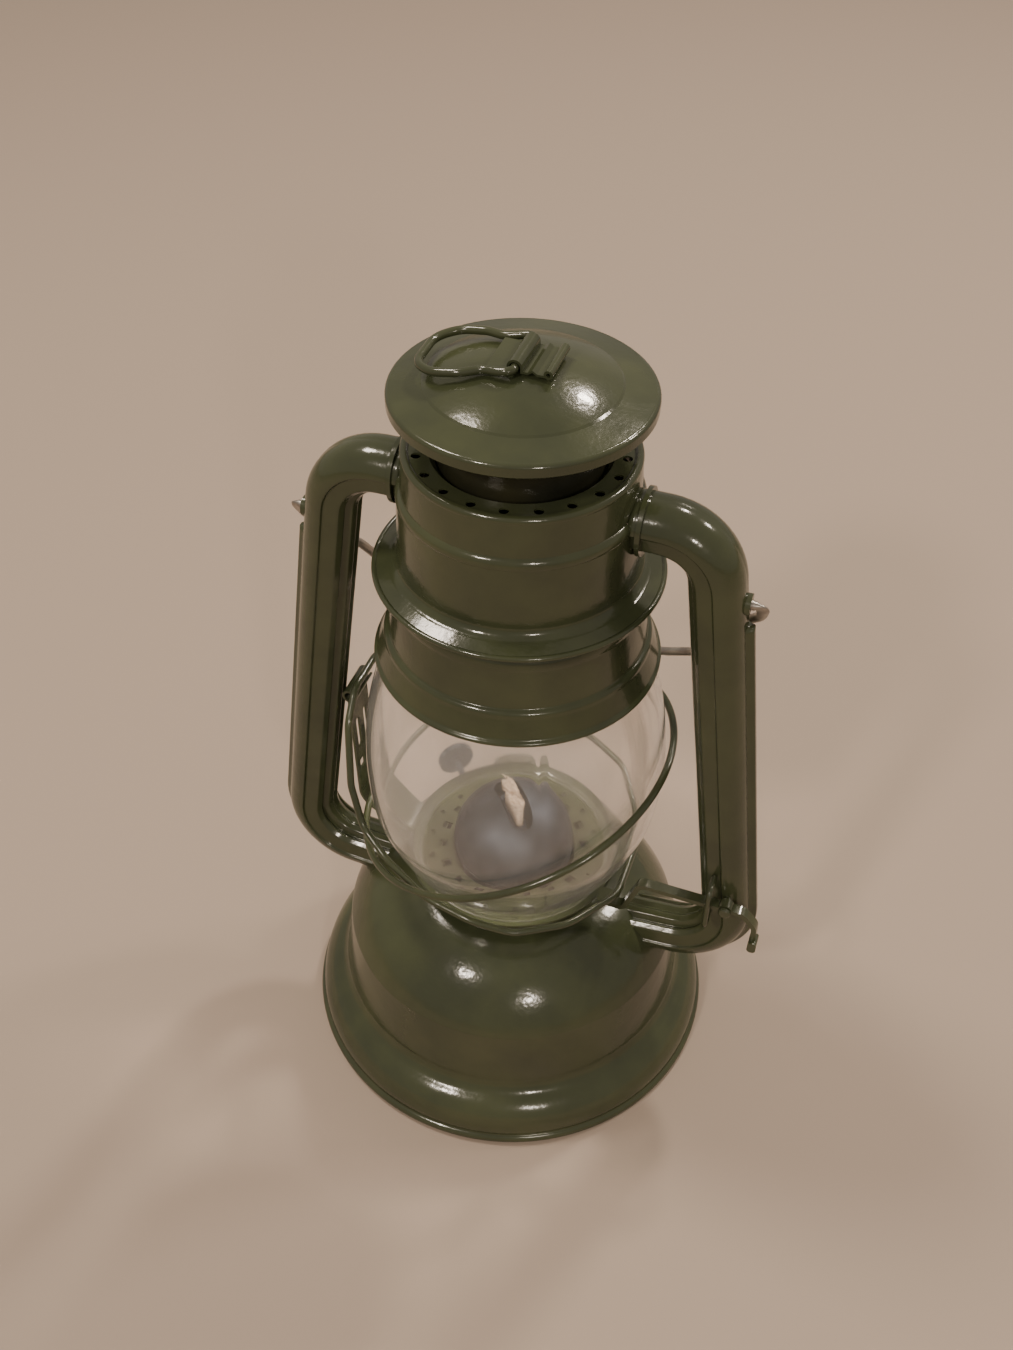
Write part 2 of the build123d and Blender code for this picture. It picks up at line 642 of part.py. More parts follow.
# In the bail's plane: sideways, and away from the pivots towards the back and down.
BAIL_HALF = [(66.6, 0), (73.8, 0), (73.4, 9.5), (68.6, 18.0), (61.0, 31.5), (57.2, 52.0),
             (51.0, 74.0), (36.0, 88.0), (14.0, 92.2)]
BAIL_RADII = [3.0, 8.0, 14.0, 20.0, 40.0, 24.0, 22.0, 40.0]
with BuildPart() as bail_wire:
    with BuildLine(bail_plane):
        bail_path = FilletPolyline(*BAIL_HALF, *[(-s, t) for s, t in reversed(BAIL_HALF)],
                                   radius=BAIL_RADII + BAIL_RADII[::-1])
    with BuildSketch(Plane(origin=bail_path @ 0, z_dir=bail_path % 0)):
        Circle(BAIL_WIRE_R)
    sweep(path=bail_path)
finish(bail_wire, "bail_wire")
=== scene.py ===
"""Tubular hurricane oil lantern, in metres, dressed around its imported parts.

The script follows the lantern as it is put together: tank, air tubes, burner and wick, globe with
its carrier, lift lever, drum, hood with its finger ring, and bail, then the floor, the lamps and
the camera. +Z is up, +X is the side with the lift lever and -Y is the front.
"""
import math

import bmesh
import bpy
import numpy as np
from mathutils import Matrix, Vector


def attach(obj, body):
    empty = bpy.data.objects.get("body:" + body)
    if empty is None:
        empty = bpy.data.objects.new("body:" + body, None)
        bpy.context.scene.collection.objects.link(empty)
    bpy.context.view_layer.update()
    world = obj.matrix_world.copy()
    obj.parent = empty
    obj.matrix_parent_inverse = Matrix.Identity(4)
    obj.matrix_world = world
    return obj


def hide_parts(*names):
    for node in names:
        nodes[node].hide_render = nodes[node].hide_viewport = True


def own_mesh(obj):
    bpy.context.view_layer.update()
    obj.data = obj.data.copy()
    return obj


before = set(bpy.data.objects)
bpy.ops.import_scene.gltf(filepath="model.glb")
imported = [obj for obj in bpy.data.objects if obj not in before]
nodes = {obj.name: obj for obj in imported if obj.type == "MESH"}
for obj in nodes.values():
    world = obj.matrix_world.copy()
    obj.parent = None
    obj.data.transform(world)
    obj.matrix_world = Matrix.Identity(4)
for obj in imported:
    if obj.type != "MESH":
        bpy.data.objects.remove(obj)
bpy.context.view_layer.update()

# ---------------------------------------------------------------- tank
# The fuel tank is one deep pressing of thin steel: a rolled rim that it stands on, a bell-shaped
# flare, an upright wall, a dome and a collar. It is dipped and stoved in gloss olive-green enamel,
# which runs thick over the bends. A flat pan is crimped into the rim from below.
MM = 0.001
ARC_POINTS = 24
TURNED_SIDES = 160


def linear(hex_colour):
    """Scene-linear RGBA of an sRGB hex colour."""
    channels = [int(hex_colour[i:i + 2], 16) / 255 for i in (0, 2, 4)]
    return [c / 12.92 if c <= 0.04045 else ((c + 0.055) / 1.055) ** 2.4 for c in channels] + [1.0]


def arc(start, through, end):
    """Points on the circle through three points, evenly turned from start to end."""
    a, m, b = (np.asarray(p, float) for p in (start, through, end))
    centre = np.linalg.solve(2 * np.array([m - a, b - a]), [m @ m - a @ a, b @ b - a @ a])
    angles = np.unwrap([math.atan2(*(p - centre)[::-1]) for p in (a, m, b)])
    turn = np.linspace(angles[0], angles[2], ARC_POINTS)
    return centre + np.linalg.norm(a - centre) * np.stack([np.cos(turn), np.sin(turn)], axis=1)


def evenly(points, step, closed=False):
    """The polyline resampled at about step, measured along it."""
    points = np.asarray(points, float)
    if closed:
        points = np.vstack([points, points[:1]])
    run = np.r_[0, np.cumsum(np.linalg.norm(np.diff(points, axis=0), axis=1))]
    count = max(int(round(run[-1] / step)), 4)
    along = np.linspace(0, run[-1], count + (0 if closed else 1), endpoint=not closed)
    return np.stack([np.interp(along, run, points[:, i]) for i in range(points.shape[1])], axis=1)


def eased(points, bend, step, closed=False):
    """The polyline resampled at step with its corners eased: a running mean over bend, twice."""
    points = evenly(points, step, closed)
    reach = max(int(round(bend / step / 2)), 1)
    for _ in range(2):
        if closed:
            padded = np.vstack([points[-reach:], points, points[:reach]])
        else:
            before = 2 * points[0] - points[reach:0:-1]
            after = 2 * points[-1] - points[-2:-reach - 2:-1]
            padded = np.vstack([before, points, after])
        points = sum(padded[i:i + len(points)] for i in range(2 * reach + 1)) / (2 * reach + 1)
    return points


def pressed(points, thickness, bend=0.9, step=0.3):
    """Closed section of a pressed sheet: an (r, z) outline with eased bends, and the way back
    along it, moved sideways by the thickness to the right of the direction of travel."""
    skin = eased(points, bend, step)
    along = np.gradient(skin, axis=0)
    along /= np.linalg.norm(along, axis=1, keepdims=True)
    inner = skin + thickness * np.stack([along[:, 1], -along[:, 0]], axis=1)
    return np.vstack([skin, inner[::-1]])


def piece(name, grids, body, finish, stands_for):
    """A mesh over grids of points in millimetres, riding on a body in place of CAD nodes.

    Each grid comes as (points, closed rows, closed columns). A point joins the next in its row
    and in its column; a closed direction joins its last points to its first. Points that fall
    together, as at a pole, become one.
    """
    points, faces, count = [], [], 0
    for grid, close_rows, close_columns in grids:
        rows, columns = grid.shape[:2]
        index = count + np.arange(rows * columns).reshape(rows, columns)
        if close_rows:
            index = np.vstack([index, index[:1]])
        if close_columns:
            index = np.hstack([index, index[:, :1]])
        corners = (index[:-1, :-1], index[1:, :-1], index[1:, 1:], index[:-1, 1:])
        faces += np.stack(corners, axis=-1).reshape(-1, 4).tolist()
        points += (grid.reshape(-1, 3) * MM).tolist()
        count += rows * columns
    mesh = bpy.data.meshes.new(name)
    mesh.from_pydata(points, [], faces)
    work = bmesh.new()
    work.from_mesh(mesh)
    bmesh.ops.remove_doubles(work, verts=work.verts, dist=1e-6)
    bmesh.ops.recalc_face_normals(work, faces=work.faces)
    work.to_mesh(mesh)
    work.free()
    mesh.polygons.foreach_set("use_smooth", [True] * len(mesh.polygons))
    mesh.materials.append(finish)
    made = bpy.data.objects.new(name, mesh)
    bpy.context.scene.collection.objects.link(made)
    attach(made, body)
    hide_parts(*stands_for)
    return made


def turned(name, section, body, finish, stands_for):
    """A closed (r, z) section turned about the lantern's axis: x = r cos a, y = r sin a."""
    angle = np.linspace(0, 2 * np.pi, TURNED_SIDES, endpoint=False)[:, None]
    r, z = section[:, 0], section[:, 1]
    grid = np.stack([r * np.cos(angle), r * np.sin(angle), z + 0 * angle], axis=-1)
    return piece(name, [(grid, True, True)], body, finish, stands_for)


def node(tree, kind, settings=None, **links):
    """Add a node to tree. settings fills inputs and properties by name; links joins inputs to
    output sockets, with an underscore for each space in the input's name."""
    made = tree.nodes.new(kind)
    for name, value in (settings or {}).items():
        if name in made.inputs:
            made.inputs[name].default_value = value
        else:
            setattr(made, name, value)
    for name, socket in links.items():
        tree.links.new(socket, made.inputs[name.replace("_", " ")])
    return made


def material(name):
    """A new, empty node material: the material, its tree and its output."""
    made = bpy.data.materials.new(name)
    made.use_nodes = True
    made.node_tree.nodes.clear()
    return made, made.node_tree, made.node_tree.nodes.new("ShaderNodeOutputMaterial")


def ramp(tree, factor, *stops):
    """A colour ramp over factor; each stop is (position, colour)."""
    made = node(tree, "ShaderNodeValToRGB", {}, Fac=factor)
    while len(made.color_ramp.elements) < len(stops):
        made.color_ramp.elements.new(0.5)
    for element, (position, colour) in zip(made.color_ramp.elements, stops):
        element.position = position
        element.color = colour
    return made.outputs["Color"]


def enamel(name, dark, light, roughness):
    """Stoved gloss enamel: two close tones in clouds about 25 mm across, runs about 8 mm wide
    and an orange peel of about 1.5 mm in its surface."""
    made, tree, out = material(name)
    place = node(tree, "ShaderNodeTexCoord").outputs["Object"]
    clouds = node(tree, "ShaderNodeTexNoise", {"Scale": 40.0, "Detail": 4.0}, Vector=place)
    tone = ramp(tree, clouds.outputs["Fac"], (0.35, linear(dark)), (0.72, linear(light)))
    runs = node(tree, "ShaderNodeTexNoise", {"Scale": 120.0, "Detail": 1.0}, Vector=place)
    peel = node(tree, "ShaderNodeTexNoise", {"Scale": 680.0, "Detail": 1.0}, Vector=place)
    run_bump = node(tree, "ShaderNodeBump", {"Strength": 0.25, "Distance": 0.0006},
                    Height=runs.outputs["Fac"])
    peel_bump = node(tree, "ShaderNodeBump", {"Strength": 0.22, "Distance": 0.00018},
                     Height=peel.outputs["Fac"], Normal=run_bump.outputs["Normal"])
    gloss = node(tree, "ShaderNodeMapRange",
                 {"To Min": roughness - 0.04, "To Max": roughness + 0.08},
                 Value=clouds.outputs["Fac"])
    skin = node(tree, "ShaderNodeBsdfPrincipled", {"IOR": 1.52}, Base_Color=tone,
                Roughness=gloss.outputs["Result"], Normal=peel_bump.outputs["Normal"])
    tree.links.new(skin.outputs["BSDF"], out.inputs["Surface"])
    return made


def finish_nodes(finish, *names):
    """Give CAD nodes one finish."""
    for name in names:
        nodes[name].data.materials.clear()
        nodes[name].data.materials.append(finish)


olive = enamel("olive_stoved_enamel", "343928", "40452E", 0.14)


def curl(r, z, radius, start, end):
    """Rolled edge of a sheet: points round (r, z) from the start angle to the end angle."""
    turn = np.radians(np.linspace(start, end, 30))
    return np.stack([r + radius * np.cos(turn), z + radius * np.sin(turn)], axis=1)


rim_curl = curl(73.0, 2.1, 2.1, 170, 420)
tank_outline = np.vstack([rim_curl, arc((73.6, 4.0), (71.9, 12.4), (67.0, 17.4)),
                          arc((67.0, 17.4), (64.2, 20.0), (63.0, 24.0))[1:], [(60.5, 46.4)],
                          arc((60.5, 46.4), (47.1, 63.1), (27.2, 71.0))[1:], [(27.2, 78.3)]])
turned("tank_shell", pressed(tank_outline, -0.8, 0.7), "frame", olive, ["font_shell"])
finish_nodes(olive, "font_bottom", "tank_ceiling")

# ---------------------------------------------------------------- air tubes
# Each side tube is a seamed steel tube with a round outer half and a fluted inner half, bent at
# two elbows. Its lapped seam stands out as a fin below the bail lug. The upper mouth is held in
# the drum by a rolled collar; the lower one is let into the dome.
MOUTH_Z = 235.5
MIDDLE_X, MIDDLE_Z = 60.5, 215.0
TUBE_LEAN = 0.137           # outward shift for each mm further down
FIN_TOP_Z = 205.0
FIN_END_X = 61.2


def lean(z):
    """Distance of a tube's centre line from the lantern's axis at height z, between its elbows."""
    return MIDDLE_X + TUBE_LEAN * (MIDDLE_Z - z)


def filleted(points, radii, step):
    """A route with each inner corner turned on an arc of its radius, as points about step apart.
    The arc touches both runs at its radius times the tangent of half the turn."""
    points = [np.asarray(p, float) for p in points]
    route = [points[0]]
    for before, corner, after, radius in zip(points, points[1:], points[2:], radii):
        back = (before - corner) / np.linalg.norm(before - corner)
        on = (after - corner) / np.linalg.norm(after - corner)
        turn = math.acos(np.clip(-back @ on, -1, 1))
        middle = (back + on) / np.linalg.norm(back + on)
        centre = corner + middle * radius / math.cos(turn / 2)
        u = corner + back * radius * math.tan(turn / 2) - centre
        v = corner + on * radius * math.tan(turn / 2) - centre
        share = np.linspace(0, 1, max(int(turn * radius / step), 4))[:, None]
        route += list(centre + (np.sin((1 - share) * turn) * u + np.sin(share * turn) * v)
                      / math.sin(turn))
    route.append(points[-1])
    return evenly(route, step)


def directions(route, closed=False):
    """Unit vectors along a route, from each point's neighbours."""
    if closed:
        way = np.roll(route, -1, axis=0) - np.roll(route, 1, axis=0)
    else:
        way = np.gradient(route, axis=0)
    return way / np.linalg.norm(way, axis=1, keepdims=True)


def in_side_plane(route, section):
    """Carry a closed (outwards, sideways) section along a route in the X-Z plane, where sideways
    is +Y and outwards is square to both."""
    side = np.array([0.0, 1.0, 0.0])
    out = np.cross(directions(route), side)
    return route[:, None] + section[:, :1] * out[:, None] + section[:, 1:] * side


ELBOW_Z, FOOT_X, FOOT_FALL = 60.0, 40.0, 0.085
foot_z = ELBOW_Z - FOOT_FALL * (lean(ELBOW_Z) - FOOT_X)
tube_route = filleted([(34.0, 0, MOUTH_Z), (lean(MOUTH_Z), 0, MOUTH_Z),
                       (lean(ELBOW_Z), 0, ELBOW_Z), (FOOT_X, 0, foot_z)], (17.0, 19.0), 1.6)
half_flutes = np.vstack([arc((8.5, 0), (6.3, 6.7), (0.6, 9.4)),
                         [(0.2, 8.5), (-4.6, 7.9), (-6.1, 6.2), (-5.2, 4.6), (-7.7, 3.6),
                          (-8.5, 1.7), (-7.5, 0)]])
flutes = np.vstack([half_flutes, half_flutes[-2:0:-1] * (1, -1)])
tube_skin = eased(flutes, 0.35, 0.2, closed=True)
on_fin = (tube_route[:, 2] < FIN_TOP_Z) & (tube_route[:, 0] > FIN_END_X)
fin_route = tube_route[on_fin]
fin = eased([(6.6, -4.0), (9.2, -1.8), (10.7, -1.0), (10.7, 1.0), (9.2, 1.8), (6.6, 4.0)],
            0.5, 0.2, closed=True)
for side, label in ((1, "right"), (-1, "left")):
    mirror = (side, 1, 1)
    skin = in_side_plane(tube_route, tube_skin) * mirror
    bore = in_side_plane(tube_route, tube_skin * 0.9)[::-1] * mirror
    lap = in_side_plane(fin_route, fin) * mirror
    lap = np.concatenate([lap[:1].mean(axis=1, keepdims=True) + 0 * lap[:1], lap,
                          lap[-1:].mean(axis=1, keepdims=True) + 0 * lap[:1]])
    piece(f"{label}_tube", [(np.concatenate([skin, bore]), True, True), (lap, False, True)],
          "frame", olive, [f"{label}_air_tube"])
finish_nodes(olive, "right_tube_collar", "left_tube_collar", "right_bail_lug", "left_bail_lug")

# ---------------------------------------------------------------- burner
# The flat-wick burner sits in the tank's collar: a stepped cup, a slotted flame cone, the wick
# tube and the winder with its toothed wheels. It is tinned steel, dulled and blued by heat. The
# winder's knob stands out at the back left, between the globe and the tank.


def metal(name, dark, light, roughness, scale):
    """Bare or plated metal: two tones in clouds, with finer clouds in its roughness. scale is
    clouds per metre."""
    made, tree, out = material(name)
    place = node(tree, "ShaderNodeTexCoord").outputs["Object"]
    clouds = node(tree, "ShaderNodeTexNoise", {"Scale": scale, "Detail": 5.0}, Vector=place)
    fine = node(tree, "ShaderNodeTexNoise", {"Scale": 6 * scale, "Detail": 3.0}, Vector=place)
    tone = ramp(tree, clouds.outputs["Fac"], (0.35, linear(dark)), (0.68, linear(light)))
    sheen = node(tree, "ShaderNodeMapRange",
                 {"To Min": roughness - 0.08, "To Max": roughness + 0.14},
                 Value=fine.outputs["Fac"])
    bump = node(tree, "ShaderNodeBump", {"Strength": 0.12, "Distance": 0.0001},
                Height=fine.outputs["Fac"])
    skin = node(tree, "ShaderNodeBsdfPrincipled", {"Metallic": 1.0}, Base_Color=tone,
                Roughness=sheen.outputs["Result"], Normal=bump.outputs["Normal"])
    tree.links.new(skin.outputs["BSDF"], out.inputs["Surface"])
    return made


tinned = metal("heat_dulled_tinned_steel", "2F353E", "4A5059", 0.5, 90.0)
finish_nodes(tinned, "burner_base", "burner_cone", "burner_collar", "wick_tube", "wick_shaft",
             "wick_sprockets", "shaft_bush", "wick_knob")

# ---------------------------------------------------------------- wick
# A flat woven cotton tape, 13 mm by 2.2 mm, that the toothed wheels pull up through the wick
# tube. Ribs of thread run up it, and its trimmed end leans and frays over the flame cone's slot.
WICK_FOOT_Z, TUBE_MOUTH_Z, WICK_TOP_Z = 18, 98.0, 107.0
LOOSE_Z = 104.6             # what is below this height can be drawn down into the tube
RIB_PITCH = 1.1
WIDTH_AZ = math.radians(130.0)
rng = np.random.default_rng(11)
across = np.array([math.cos(WIDTH_AZ), math.sin(WIDTH_AZ), 0.0])
through = np.array([-across[1], across[0], 0.0])
tape = eased([(-6.5, -1.1), (6.5, -1.1), (6.5, 1.1), (-6.5, 1.1)], 0.9, 0.22, closed=True)
ribs = 1 + 0.13 * np.cos(2 * np.pi * tape[:, 0] / RIB_PITCH)


def trim(u):
    """Height of the crooked cut above the wick's top, at a place across its width."""
    return 1.3 * np.sin(u * 0.9 + 0.6)


def leaning(points):
    """The tape's loose end bends over: 0.07 mm for each mm of height, squared."""
    over = np.clip(points[..., 2:] - LOOSE_Z, 0, None)
    return points + 0.07 * over ** 2 * np.array([-1.0, -0.4, 0.0])


heights = np.r_[np.linspace(WICK_FOOT_Z, TUBE_MOUTH_Z, 30),
                np.linspace(TUBE_MOUTH_Z, WICK_TOP_Z, 26)[1:]]
ragged = trim(tape[:, 0]) + rng.normal(0, 0.6, len(tape))
loose = np.clip((heights - LOOSE_Z) / (WICK_TOP_Z - LOOSE_Z), 0, 1)[:, None]
wick = ((tape[:, 0] * (1 + 0.05 * loose))[..., None] * across
        + (tape[:, 1] * ribs * (1 + loose))[..., None] * through)
wick[..., 2] = heights[:, None] + loose * ragged
ends = [row.mean(axis=0) + 0 * row for row in (wick[0], wick[-1])]
wick_grids = [(leaning(np.concatenate([[ends[0]], wick, [ends[1]]])), False, True)]
hexagon = np.radians(np.arange(0, 360, 60))
THREADS = 170
for _ in range(THREADS):
    u, v = rng.uniform(-6.4, 6.4), rng.uniform(-1.25, 1.25)
    tip = np.clip(rng.normal(0, 1.1, 2), -1.3, 1.3)
    tall = rng.uniform(0.6, 2.8)
    share = np.array([-0.5, 0.0, 0.35, 0.7, 1.0, 1.0])[:, None]
    radius = np.array([0.22, 0.2, 0.17, 0.13, 0.08, 0.0])[:, None]
    bend = np.clip(share, 0, None) ** 2
    thread = ((u + tip[0] * bend + radius * np.cos(hexagon))[..., None] * across
              + (v + tip[1] * bend + radius * np.sin(hexagon))[..., None] * through)
    thread[..., 2] = WICK_TOP_Z + trim(u) + tall * share
    wick_grids.append((leaning(thread), False, True))
cotton, tree, out = material("woven_cotton")
place = node(tree, "ShaderNodeTexCoord").outputs["Object"]
threads = node(tree, "ShaderNodeTexNoise", {"Scale": 900.0, "Detail": 3.0}, Vector=place)
tone = ramp(tree, threads.outputs["Fac"], (0.3, linear("BFA68E")), (0.7, linear("EBDCC8")))
bump = node(tree, "ShaderNodeBump", {"Strength": 0.5, "Distance": 0.0002},
            Height=threads.outputs["Fac"])
skin = node(tree, "ShaderNodeBsdfPrincipled", {"Roughness": 0.9}, Base_Color=tone,
            Normal=bump.outputs["Normal"])
tree.links.new(skin.outputs["BSDF"], out.inputs["Surface"])
piece("wick_tape", wick_grids, "wick_strip", cotton, ["wick"])

# ---------------------------------------------------------------- filler
# The filler stands on the dome behind the globe: a short leaning neck, a black rubber ring and a
# small fluted screw cap in the tank's enamel.
rubber, tree, out = material("black_rubber")
skin = node(tree, "ShaderNodeBsdfPrincipled", {"Base Color": linear("1E1D1C"), "Roughness": 0.7})
tree.links.new(skin.outputs["BSDF"], out.inputs["Surface"])
finish_nodes(rubber, "filler_gasket")
finish_nodes(olive, "filler_neck", "filler_cap")

# ---------------------------------------------------------------- globe and its plate
# A clear pressed-glass globe, 2 mm thick, with fire-rounded rims and two faint mould seams. It
# stands in a pierced plate with an upturned edge, enamelled like the tank.
finish_nodes(olive, "globe_plate")
GLASS_T = 2.0
SEAM_AZ = (-62.0, 118.0)
glass_outline = np.vstack([[(35.4, 79.3), (35.8, 83.0)],
                           arc((35.8, 83.0), (43.6, 96.2), (49.2, 111.0))[1:],
                           arc((49.2, 111.0), (50.4, 124.0), (50.0, 141.0))[1:],
                           arc((50.0, 141.0), (45.8, 164.0), (37.4, 185.0))[1:]])
glass_section = eased(pressed(glass_outline, -GLASS_T, 5.0, 0.6), 1.4, 0.5, closed=True)
angle = np.radians(np.arange(0, 360, 1.5))[:, None]
mould_seam = sum(np.exp(-((np.degrees(angle) - az + 180) % 360 - 180) ** 2 / 2) for az in SEAM_AZ)
# The seams and the slow waves of the pressing are in the outer skin, which holds the larger radii.
middle_r = np.interp(glass_section[:, 1], glass_outline[:, 1], glass_outline[:, 0]) - GLASS_T / 2
outer = glass_section[:, 0] > middle_r
waves = 0.05 * np.sin(3 * angle + glass_section[:, 1] / 9)
r = glass_section[:, 0] + outer * (0.16 * mould_seam + waves)
globe = np.stack([r * np.cos(angle), r * np.sin(angle), glass_section[:, 1] + 0 * angle], axis=-1)
glass, tree, out = material("clear_pressed_glass")
place = node(tree, "ShaderNodeTexCoord").outputs["Object"]
film = node(tree, "ShaderNodeTexNoise", {"Scale": 45.0, "Detail": 4.0}, Vector=place)
haze = node(tree, "ShaderNodeMapRange", {"From Min": 0.4, "From Max": 0.75, "To Min": 0.02,
                                         "To Max": 0.09}, Value=film.outputs["Fac"])
clear = node(tree, "ShaderNodeBsdfPrincipled",
             {"Base Color": linear("FCF9F6"), "IOR": 1.47, "Transmission Weight": 0.955},
             Roughness=haze.outputs["Result"])
open_to_light = node(tree, "ShaderNodeBsdfTransparent", {"Color": linear("FFFFFF")})
rays = node(tree, "ShaderNodeLightPath")
mix = node(tree, "ShaderNodeMixShader")
tree.links.new(rays.outputs["Is Shadow Ray"], mix.inputs[0])
tree.links.new(clear.outputs["BSDF"], mix.inputs[1])
tree.links.new(open_to_light.outputs["BSDF"], mix.inputs[2])
tree.links.new(mix.outputs["Shader"], out.inputs["Surface"])
piece("glass_globe", [(globe, True, True)], "carrier", glass, ["globe"])

# ---------------------------------------------------------------- guard wires and guide strip
# Two rings of 2.5 mm wire cage the globe, one high on the right and one high on the left. They
# cross low at the front and back. A pierced guide strip stands beside the left tube.
GUARD_WIRE_R = 1.25
GUARD_R = 52.5


def wire(route, radius, reference, closed, flat=None):
    """Grid of a round wire along a route, its angles measured from square to the reference
    vectors. Open ends are chamfered and closed. flat is how far each point's round is pressed
    flat, from 0 to 1: thinner along the reference and wider across it."""
    way = directions(route, closed)
    side = np.cross(way, reference)
    side /= np.linalg.norm(side, axis=1, keepdims=True)
    up = np.cross(side, way)
    turn = np.linspace(0, 2 * np.pi, 18, endpoint=False)[None, :, None]
    flat = np.zeros(len(route)) if flat is None else flat
    wide, thin = (1 + 0.5 * flat)[:, None, None], (1 - 0.45 * flat)[:, None, None]
    ring = radius * (wide * np.cos(turn) * side[:, None] + thin * np.sin(turn) * up[:, None])
    grid = route[:, None] + ring
    if closed:
        return grid, True, True
    first, last = route[:1, None], route[-1:, None]
    tip = 0.3 * radius
    before = [first - way[:1, None] * tip + share * ring[:1] for share in (0.0, 0.75)]
    after = [last + way[-1:, None] * tip + share * ring[-1:] for share in (0.75, 0.0)]
    return np.concatenate([*before, grid, *after]), False, True


around = np.radians(np.arange(0, 360, 1.5))
ring_x, ring_y = GUARD_R * np.cos(around), GUARD_R * np.sin(around)
right_guard = np.stack([ring_x, ring_y, 117.6 + 0.447 * ring_x + 0.12 * ring_y], axis=1)
guard_radii = (6, 9, 14, 9, 16, 20, 18, 14, 16, 14)
front_guard = filleted([(-54, 0, 148.5), (-54, -9, 148.5), (-53.4, -17.5, 139.5),
                        (-49.8, -26.5, 120), (-44, -31.5, 106), (-32.6, -38, 100.5),
                        (-15.6, -46.4, 97.6), (2, -49.5, 96.2), (16, -48, 94),
                        (32, -38, 93.6), (43.6, -18, 90.5), (43.6, 0, 90.5)], guard_radii, 1.4)
back_guard = filleted([(-54, 0, 148.5), (-54, 9, 148.5), (-53.4, 17.5, 139.5),
                       (-50.8, 26.8, 120), (-46.4, 33.4, 106), (-36, 43.4, 99),
                       (-15.6, 49.6, 97), (2, 50.5, 96.2), (16, 48, 94), (32, 38, 93.6),
                       (43.6, 18, 90.5), (43.6, 0, 90.5)], guard_radii, 1.4)
left_guard = np.concatenate([front_guard[:-1], back_guard[:0:-1]])
for name, route in (("guard_wire_right", right_guard), ("guard_wire_left", left_guard)):
    piece(name.replace("wire", "ring"), [wire(route, GUARD_WIRE_R, route * (1, 1, 0), True)],
          "carrier", olive, [name])
finish_nodes(olive, "guide_strip")

# ---------------------------------------------------------------- lift lever
# A bent strap pivots on a riveted pin in the right tube. Its inner end lies under the plate's ear
# and its thumb tab hangs outside the tube, behind a wire staple. All are enamelled olive.
finish_nodes(olive, "lift_lever", "lever_pivot_pin")
staple = filleted([(74.2, -8.9, 102), (74.2, -16.6, 102), (74.2, -16.6, 84), (74.2, -8.9, 84)],
                  (2.4, 2.4), 0.5)
piece("staple", [wire(staple, 1.0, np.array([1.0, 0, 0]), False)], "frame", olive,
      ["lever_staple"])

# ---------------------------------------------------------------- drum
# The air drum joins the two tubes above the globe: an upright wall with an eave, a shouldered
# top and a ring of vent holes. It is pressed steel in olive enamel.
finish_nodes(olive, "drum_shell", "vent_plate")

# ---------------------------------------------------------------- hood
# The hood slides in the drum against a spring: the bell that holds the globe down, the chimney
# neck and the cap on its stays. The neck's darker enamel is painted shade under the cap.
holder_outline = np.vstack([curl(44.4, 177.6, 0.9, 160, 410), [(44.2, 178.8), (41.9, 185.6)],
                            arc((41.9, 185.6), (41.5, 187.2), (40.3, 187.9))[1:], [(38.6, 201.0)],
                            arc((38.6, 201.0), (37.4, 205.6), (33.4, 207.2))[1:],
                            [(24.7, 207.6)]])
turned("hood_bell", pressed(holder_outline, -0.6, 0.5, 0.25), "hood", olive, ["globe_holder"])
# Darker tones of the olive enamel on the neck: painted shade under the cap, with a duller gloss.
neck_painted_shade = enamel("neck_enamel_painted_shade", "20211A", "34321F", 0.3)
neck_outline = np.vstack([[(24.0, 204.6), (24.0, 256.5)],
                          arc((24.0, 256.5), (25.2, 260.8), (29.2, 264.2))[1:]])
turned("hood_neck", pressed(neck_outline, -0.6), "hood", neck_painted_shade, ["chimney_neck"])
finish_nodes(olive, "cap", "cap_stays", "ring_bracket")

# ---------------------------------------------------------------- hood spring
# Six turns of 1.2 mm spring wire round the neck press the hood down on the globe.
COIL_R, COIL_PITCH, COIL_LOW_Z, COIL_HEIGHT = 29.0, 6.7, 208.4, 40.2
turn = np.linspace(0, 2 * np.pi * COIL_HEIGHT / COIL_PITCH, 430)
coil = np.stack([COIL_R * np.cos(turn), COIL_R * np.sin(turn),
                 COIL_LOW_Z + COIL_PITCH * turn / (2 * np.pi)], axis=1)
sprung = metal("blackened_spring_steel", "2C2B29", "474441", 0.35, 120.0)
spring = piece("hood_spring", [wire(coil, 0.6, np.array([0, 0, 1.0]), False)], "frame", sprung,
               ["chimney_spring"])
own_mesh(spring)

# ---------------------------------------------------------------- finger ring
# A pear-shaped loop of enamelled wire lies on the cap, its straight bar in the bracket's knuckle.
RING_TILT = math.radians(9.0)
RING_PIN_Z = 281.6
half_ring = [(0, 10.0), (4.0, 10.0), (8.6, 9.2), (14.5, 11.6), (22.5, 11.9), (28.6, 7.4)]
ring_radii = (1.8, 2.6, 5.0, 7.0, 8.0, 7.4)
loop = [(0, 0), *half_ring, *[(u, -v) for u, v in reversed(half_ring)], (0, 0)]
loop = [(-u * math.cos(RING_TILT), v, RING_PIN_Z - u * math.sin(RING_TILT)) for u, v in loop]
finger_ring = filleted(loop, ring_radii + ring_radii[::-1], 0.6)[:-1]
piece("finger_loop", [wire(finger_ring, 1.25, np.array([0, 0, 1.0]), True)], "finger_ring",
      olive, ["lift_ring"])

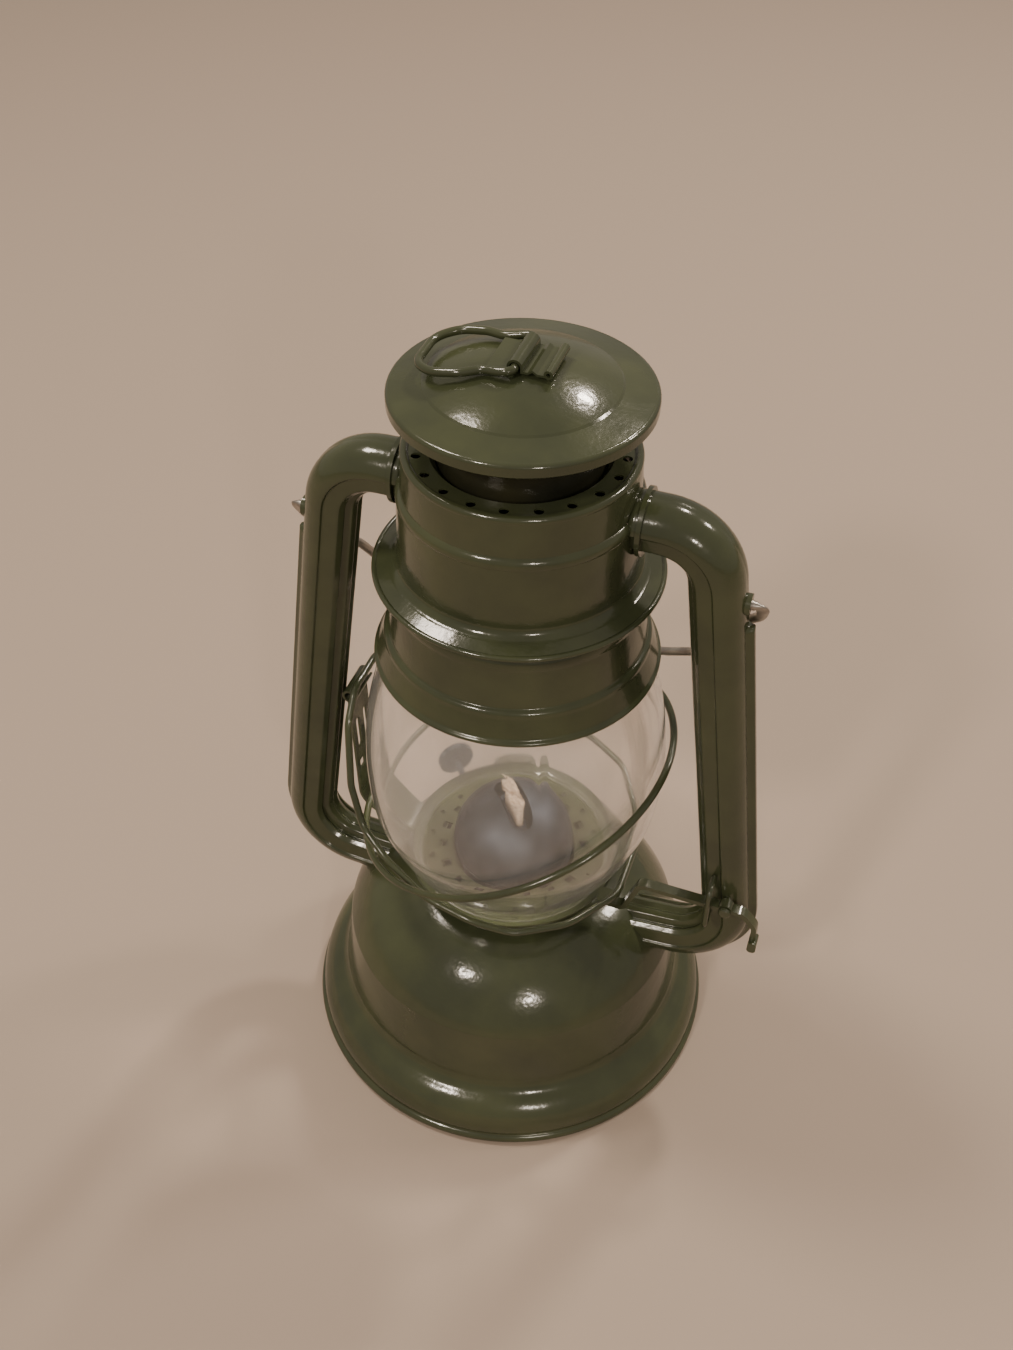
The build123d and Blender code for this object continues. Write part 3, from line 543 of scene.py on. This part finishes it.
# ---------------------------------------------------------------- bail
# The carrying bail is 3 mm galvanised wire that hangs down behind the lantern. Its ends are
# flattened and hooked through the lugs on the tubes.
BAIL_DROP = math.radians(55.0)
LUG_Z = 214
BAIL_STEP = 1.2
half_bail = [(66.6, 0), (73.8, 0), (73.4, 9.5), (68.6, 18.0), (61.0, 31.5), (57.2, 52.0),
             (51.0, 74.0), (36.0, 88.0), (14.0, 92.2)]
bail_radii = (3, 8, 14, 20, 40, 24, 22, 40)
bail = [*half_bail, *[(-u, v) for u, v in reversed(half_bail)]]
bail = [(u, v * math.cos(BAIL_DROP), LUG_Z - v * math.sin(BAIL_DROP)) for u, v in bail]
bail = filleted(bail, bail_radii + bail_radii[::-1], BAIL_STEP)
along = np.arange(len(bail)) * BAIL_STEP
from_end = np.minimum(along, along[::-1])
flat = np.clip(1.6 - from_end / 10, 0, 1) * (from_end > 5)
zinc = metal("galvanised_wire", "8A8580", "B0ABA4", 0.36, 160.0)
piece("bail_handle", [wire(bail, 1.5, np.array([0, math.sin(BAIL_DROP), math.cos(BAIL_DROP)]),
                           False, flat)], "bail", zinc, ["bail_wire"])

# ---------------------------------------------------------------- floor, lights and camera
# The lantern stands on a plain pale floor under five round soft boxes and a dim warm sky. The
# camera looks down on its front from the right, at arm's length.
FLOOR_HALF = 3.0
floor_mesh = bpy.data.meshes.new("floor")
floor_mesh.from_pydata([(FLOOR_HALF * x, FLOOR_HALF * y, 0)
                        for x, y in ((-1, -1), (1, -1), (1, 1), (-1, 1))], [], [(0, 1, 2, 3)])
floor = bpy.data.objects.new("floor", floor_mesh)
bpy.context.scene.collection.objects.link(floor)
concrete, tree, out = material("pale_floor")
matt = node(tree, "ShaderNodeBsdfPrincipled", {"Base Color": linear("A09082"), "Roughness": 0.75})
tree.links.new(matt.outputs["BSDF"], out.inputs["Surface"])
floor_mesh.materials.append(concrete)

HEADING = 18.59      # degrees the camera is turned about the vertical, from looking along +Y
PITCH = 43.37        # degrees it looks down
ROLL = 0.81
camera_data = bpy.data.cameras.new("camera")
camera_data.lens = 38.07
camera_data.sensor_width = 36.0
camera_data.clip_start, camera_data.clip_end = 0.01, 20.0
camera = bpy.data.objects.new("camera", camera_data)
camera.matrix_world = (Matrix.Translation((0.1036, -0.3187, 0.4803))
                       @ Matrix.Rotation(math.radians(HEADING), 4, "Z")
                       @ Matrix.Rotation(math.radians(90 - PITCH), 4, "X")
                       @ Matrix.Rotation(math.radians(ROLL), 4, "Z"))
bpy.context.scene.collection.objects.link(camera)
bpy.context.scene.camera = camera

# Soft boxes, given by azimuth from +X, elevation, distance, size and power.
LAMPS = (("lamp_back", 74, 50, 1.7, 0.16, 12), ("lamp_front_left", -109, 44, 1.7, 0.17, 11),
         ("lamp_front_right", -59, 28, 1.8, 0.13, 7), ("lamp_right", 40, 41, 1.8, 0.22, 10),
         ("lamp_left", 172, 62, 1.8, 0.35, 17))
for name, azimuth, elevation, distance, size, power in LAMPS:
    lamp = bpy.data.lights.new(name, "AREA")
    lamp.shape = "DISK"
    lamp.size = size
    lamp.energy = power
    lamp.color = linear("FFF0DF")[:3]
    made = bpy.data.objects.new(name, lamp)
    a, e = math.radians(azimuth), math.radians(elevation)
    way = Vector((math.cos(a) * math.cos(e), math.sin(a) * math.cos(e), math.sin(e)))
    made.matrix_world = (Matrix.Translation(Vector((0, 0, 0.12)) + way * distance)
                         @ way.to_track_quat("Z", "Y").to_matrix().to_4x4())
    bpy.context.scene.collection.objects.link(made)
world = bpy.data.worlds.new("studio")
world.use_nodes = True
world.node_tree.nodes["Background"].inputs["Color"].default_value = linear("FFF1E2")
world.node_tree.nodes["Background"].inputs["Strength"].default_value = 0.42
bpy.context.scene.world = world
